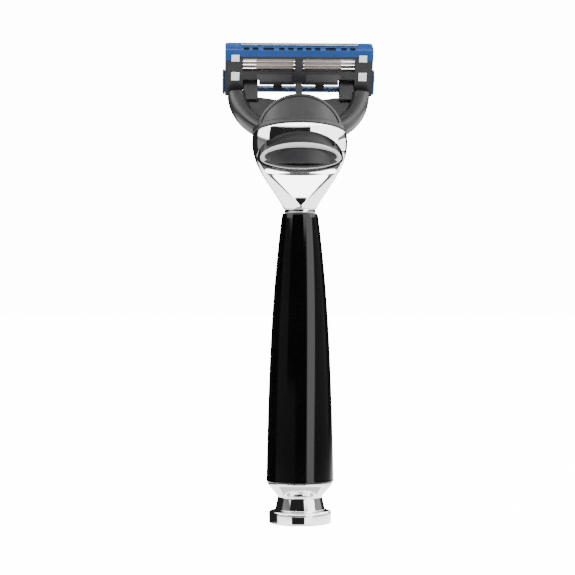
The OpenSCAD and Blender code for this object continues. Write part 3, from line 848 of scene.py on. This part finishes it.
def wing(side):
    """The soft wing round one end of the unit, and its pad on the face."""
    back, face, low, high = -3.6, 0.22, 0.5, 7.6
    outline = [(back, low + 1.1), (back + 0.8, low), (face, low), (face, 5), (face - 1.42, high),
               (back, high)]
    outline = fillet(outline, [0.5, 0.6, 0.3, 1.4, 0.9, 0.5], 5)
    x0, x1 = sorted((side * (UNIT_HALF + 0.03), side * (UNIT_HALF + 0.7)))
    shell = bevel(extrude("wing", outline, x0, x1, TO_UNIT), 0.28, 4, 50)
    x0, x1 = sorted((side * 15.1, side * (UNIT_HALF + 0.5)))
    pad = bevel(block("pad", (x0, 0.02, low + 0.1), (x1, face, 4.9), TO_UNIT), 0.08, 2, 50)
    name = "wing_right" if side > 0 else "wing_left"
    place(shade(join([shell, pad], name), 40), "blade_unit", WING)


def strip():
    """The lubricating strip, domed across its width."""
    half, bottom, crown, low, high = 15.9, -0.43, 0.32, 12.15, 14.1
    shoulder = crown - 0.2
    outline = [(bottom, low), (shoulder, low), (crown, low + 0.55), (crown, high - 0.5), (shoulder, high),
               (bottom, high)]
    outline = fillet(outline, [0.05, 0.1, 0.4, 0.4, 0.1, 0.05], 4)
    obj = bevel(extrude("lube_strip_cast", outline, -half, half, TO_UNIT), 0.1, 3, 50)
    place(shade(obj, 40), "blade_unit", STRIP, "lube_strip")


def blades():
    """Five blades on their supports, each bright on its ground edge and dark on its two large flats."""
    flat_area = 25
    for i in range(1, 6):
        edge = cad_copy(f"blade_{i}", f"blade_{i}_ground", 0)
        second_material(edge, lambda p, area: area > flat_area)
        place(edge, "blade_unit", [STEEL, COATED], f"blade_{i}")
        bent = cad_copy(f"blade_support_{i}", f"blade_support_{i}_bent", 0.04, 2)
        place(bent, "blade_unit", SUPPORT, f"blade_support_{i}")


def clips():
    for node in ("clip_left", "clip_right"):
        place(cad_copy(node, node + "_bent", 0.1, 3), "blade_unit", CLIP, node)


def carrier():
    """The blue back piece with painted shade, a near-black blue, on the walls of its comb slots, and the
    trimmer blade on it.
    """
    mouth_y, mouth_z, half_high, row_half, face_area = -4.65, 14.85, 0.6, 16, 3

    # Picks the faces inside the comb slots, which get the painted shade
    def in_slot_shade(p, area):
        depth = ((p.y - mouth_y) - (p.z - mouth_z)) / math.sqrt(2)
        near_row = abs(p.z - mouth_z) < half_high and abs(p.x) < row_half
        return near_row and 0.12 < depth < 0.7 and area < face_area

    obj = cad_copy("trimmer_carrier", "carrier_moulding", 0.1, 3)
    second_material(obj, in_slot_shade)
    place(obj, "blade_unit", [CARRIER, SLOT_PAINTED_SHADE], "trimmer_carrier")
    edge = cad_copy("trimmer_blade", "trimmer_blade_ground", 0.015, 1)
    place(edge, "blade_unit", STEEL, "trimmer_blade")


# ---------------------------------------------------------------- hidden works
def hidden_works():
    for node, material in (("core_rod", ROD), ("end_cap_washer", SEAL), ("neck_seal", SEAL),
                           ("nose_insert", NOSE), ("ejector", EJECTOR), ("button_spring", WIRE),
                           ("plunger_spring", WIRE)):
        data = frame["nodes"][node].data
        data.materials.clear()
        data.materials.append(material)


# ---------------------------------------------------------------- stage, light and camera
def area_light(name, location, target, size, power):
    data = bpy.data.lights.new(name, "AREA")
    data.shape = "RECTANGLE"
    data.size, data.size_y = size
    data.energy = power
    obj = bpy.data.objects.new(name, data)
    obj.location = location
    obj.rotation_euler = (Vector(target) - Vector(location)).to_track_quat("-Z", "Y").to_euler()
    bpy.context.scene.collection.objects.link(obj)
    return obj


def room():
    """White to the eye all round. The object is lit by a soft room with white and black panels in it."""
    world = bpy.data.worlds.new("studio")
    world.use_nodes = True
    tree = world.node_tree

    def math_node(operation, *values):
        node = tree.nodes.new("ShaderNodeMath")
        node.operation = operation
        for inlet, value in zip(node.inputs, values):
            if isinstance(value, (int, float)):
                inlet.default_value = value
            else:
                tree.links.new(value, inlet)
        return node.outputs[0]

    def ramp(value, low, high):
        """Rises smoothly from 0 at low to 1 at high."""
        node = tree.nodes.new("ShaderNodeMapRange")
        node.interpolation_type = "SMOOTHSTEP"
        node.inputs["From Min"].default_value = low
        node.inputs["From Max"].default_value = high
        tree.links.new(value, node.inputs["Value"])
        return node.outputs["Result"]

    def band(value, low, high, soft):
        """1 between low and high, 0 outside, with soft edges."""
        rise, fall = ramp(value, low - soft, low + soft), ramp(value, high - soft, high + soft)
        return math_node("SUBTRACT", rise, fall)

    place_node = tree.nodes.new("ShaderNodeTexCoord")
    split = tree.nodes.new("ShaderNodeSeparateXYZ")
    tree.links.new(place_node.outputs["Generated"], split.inputs["Vector"])
    x, y, z = (split.outputs[k] for k in "XYZ")
    degrees = 180 / math.pi
    azimuth = math_node("MULTIPLY", math_node("ARCTAN2", x, math_node("MULTIPLY", y, -1.0)), degrees)
    elevation = math_node("MULTIPLY", math_node("ARCSINE", z), degrees)
    narrowed = math_node("DIVIDE", azimuth, math_node("ADD", math_node("MULTIPLY", elevation, 0.04), 1.12))

    level = None
    for value, low_az, high_az, low_el, high_el, soft in PANELS + (STRIP_LIGHT,):
        angle = narrowed if value == STRIP_LIGHT[0] else azimuth
        across, up = band(angle, low_az, high_az, soft), band(elevation, low_el, high_el, soft)
        where = math_node("MULTIPLY", across, up)
        if level is None:
            level = math_node("MULTIPLY", where, value)
        else:
            mixed = tree.nodes.new("ShaderNodeMix")
            tree.links.new(where, mixed.inputs["Factor"])
            tree.links.new(level, mixed.inputs["A"])
            mixed.inputs["B"].default_value = value
            level = mixed.outputs["Result"]
    path = tree.nodes.new("ShaderNodeLightPath")
    unseen, seen = tree.nodes["Background"], tree.nodes.new("ShaderNodeBackground")
    mix = tree.nodes.new("ShaderNodeMixShader")
    seen.inputs["Color"].default_value = (1, 1, 1, 1)
    seen.inputs["Strength"].default_value = SEEN_WHITE
    unseen.inputs["Color"].default_value = (1, 1, 1, 1)
    tree.links.new(level, unseen.inputs["Strength"])
    tree.links.new(path.outputs["Is Camera Ray"], mix.inputs["Fac"])
    tree.links.new(unseen.outputs["Background"], mix.inputs[1])
    tree.links.new(seen.outputs["Background"], mix.inputs[2])
    tree.links.new(mix.outputs["Shader"], tree.nodes["World Output"].inputs["Surface"])
    bpy.context.scene.world = world


def floor():
    """A wide floor that takes the object's shadow, and that the camera sees as white as the room."""
    material, tree, shader = node_material("floor", (0.8, 0.8, 0.8), 0.7)
    glow = tree.nodes.new("ShaderNodeEmission")
    path = tree.nodes.new("ShaderNodeLightPath")
    both = tree.nodes.new("ShaderNodeAddShader")
    mix = tree.nodes.new("ShaderNodeMixShader")
    glow.inputs["Strength"].default_value = SEEN_WHITE - 0.8
    tree.links.new(shader.outputs["BSDF"], both.inputs[0])
    tree.links.new(glow.outputs["Emission"], both.inputs[1])
    tree.links.new(path.outputs["Is Camera Ray"], mix.inputs["Fac"])
    tree.links.new(shader.outputs["BSDF"], mix.inputs[1])
    tree.links.new(both.outputs["Shader"], mix.inputs[2])
    tree.links.new(mix.outputs["Shader"], tree.nodes["Material Output"].inputs["Surface"])
    half = 4
    mesh = bpy.data.meshes.new("floor")
    corners = [(-half, -half, 0), (half, -half, 0), (half, half, 0), (-half, half, 0)]
    mesh.from_pydata(corners, [], [(0, 1, 2, 3)])
    mesh.materials.append(material)
    obj = bpy.data.objects.new("floor", mesh)
    bpy.context.scene.collection.objects.link(obj)
    obj.visible_glossy = False


def lights():
    """A wide light above, and a small card by the head's right side, too high for the grip to reflect."""
    area_light("top", (0, 0.1, 0.9), (0, 0, 0.09), (0.9, 0.6), 4)
    card = area_light("side_card", (0.05, 0, 0.106), (0, 0, 0.106), (0.05, 0.012), 0.006)
    card.visible_camera = False


def camera():
    """A level camera a little to the left, its frame shifted to set the object right of the middle."""
    distance, height, azimuth = 0.52, 0.064, math.radians(-3)
    picture_width, shift = 156.4 * MM, 3.4 * MM
    data = bpy.data.cameras.new("camera")
    data.sensor_width = 36
    data.lens = data.sensor_width * distance / picture_width
    data.shift_x = -shift / picture_width
    obj = bpy.data.objects.new("camera", data)
    obj.location = (distance * math.sin(azimuth), -distance * math.cos(azimuth), height)
    obj.rotation_euler = (math.pi / 2, 0, azimuth)
    bpy.context.scene.collection.objects.link(obj)
    bpy.context.scene.camera = obj


camera()
room()
floor()
lights()
grip()
end_cap()
neck_ring()
head()
button()
connector()
plunger()
housing()
guard()
strip()
blades()
clips()
carrier()
hidden_works()
